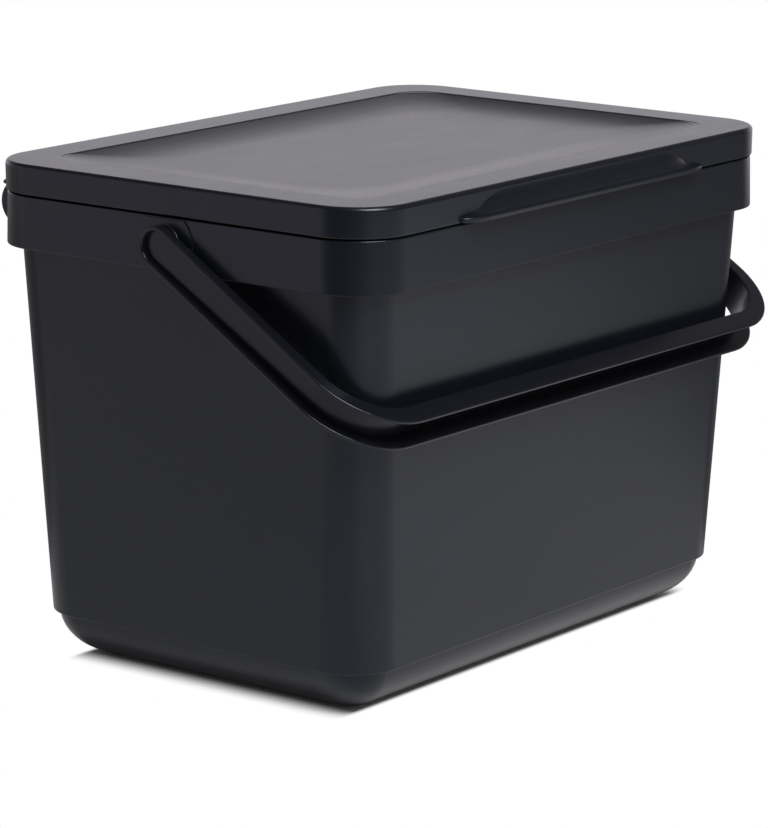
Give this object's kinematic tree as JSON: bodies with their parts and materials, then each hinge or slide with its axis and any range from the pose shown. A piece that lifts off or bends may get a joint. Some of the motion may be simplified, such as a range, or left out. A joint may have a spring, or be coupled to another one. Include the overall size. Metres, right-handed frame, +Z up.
{
  "type": "compost caddy with hinged lid",
  "caption": "Kitchen compost caddy: tapered moulded bin with a rim collar, a recessed lid on rear hinges with a front finger lip, and a swinging channel-section bail handle.",
  "frame": {"origin": "centre of the bin's flat base, on the surface it stands on", "axes": "+Z up, +X to the right seen from the front, -Y to the front where the lid's finger lip is, hinges on the +Y side"},
  "size_m": [0.2834, 0.2096, 0.1978],
  "materials": {
    "anthracite_pp_bin": "fine satin moulded polypropylene",
    "anthracite_pp_lid": "fine satin moulded polypropylene",
    "black_pp_handle": "fine satin moulded polypropylene",
    "black_acetal_pin": "smooth extruded acetal rod"
  },
  "bodies": {
    "bin": {"bin_body": "anthracite_pp_bin", "hinge_pin_left": "black_acetal_pin", "hinge_pin_right": "black_acetal_pin"},
    "lid": {"lid": "anthracite_pp_lid"},
    "handle": {"carry_handle": "black_pp_handle"}
  },
  "joints": [
    {"name": "lid_hinge", "type": "hinge", "parent": "bin", "child": "lid", "pos_m": [0, 0.0995, 0.176], "axis": [-1, 0, 0], "range_deg": [0, 105]},
    {"name": "handle_pivot", "type": "hinge", "parent": "bin", "child": "handle", "pos_m": [0, 0.002, 0.1742], "axis": [-1, 0, 0], "range_deg": [0, 247]}
  ]
}
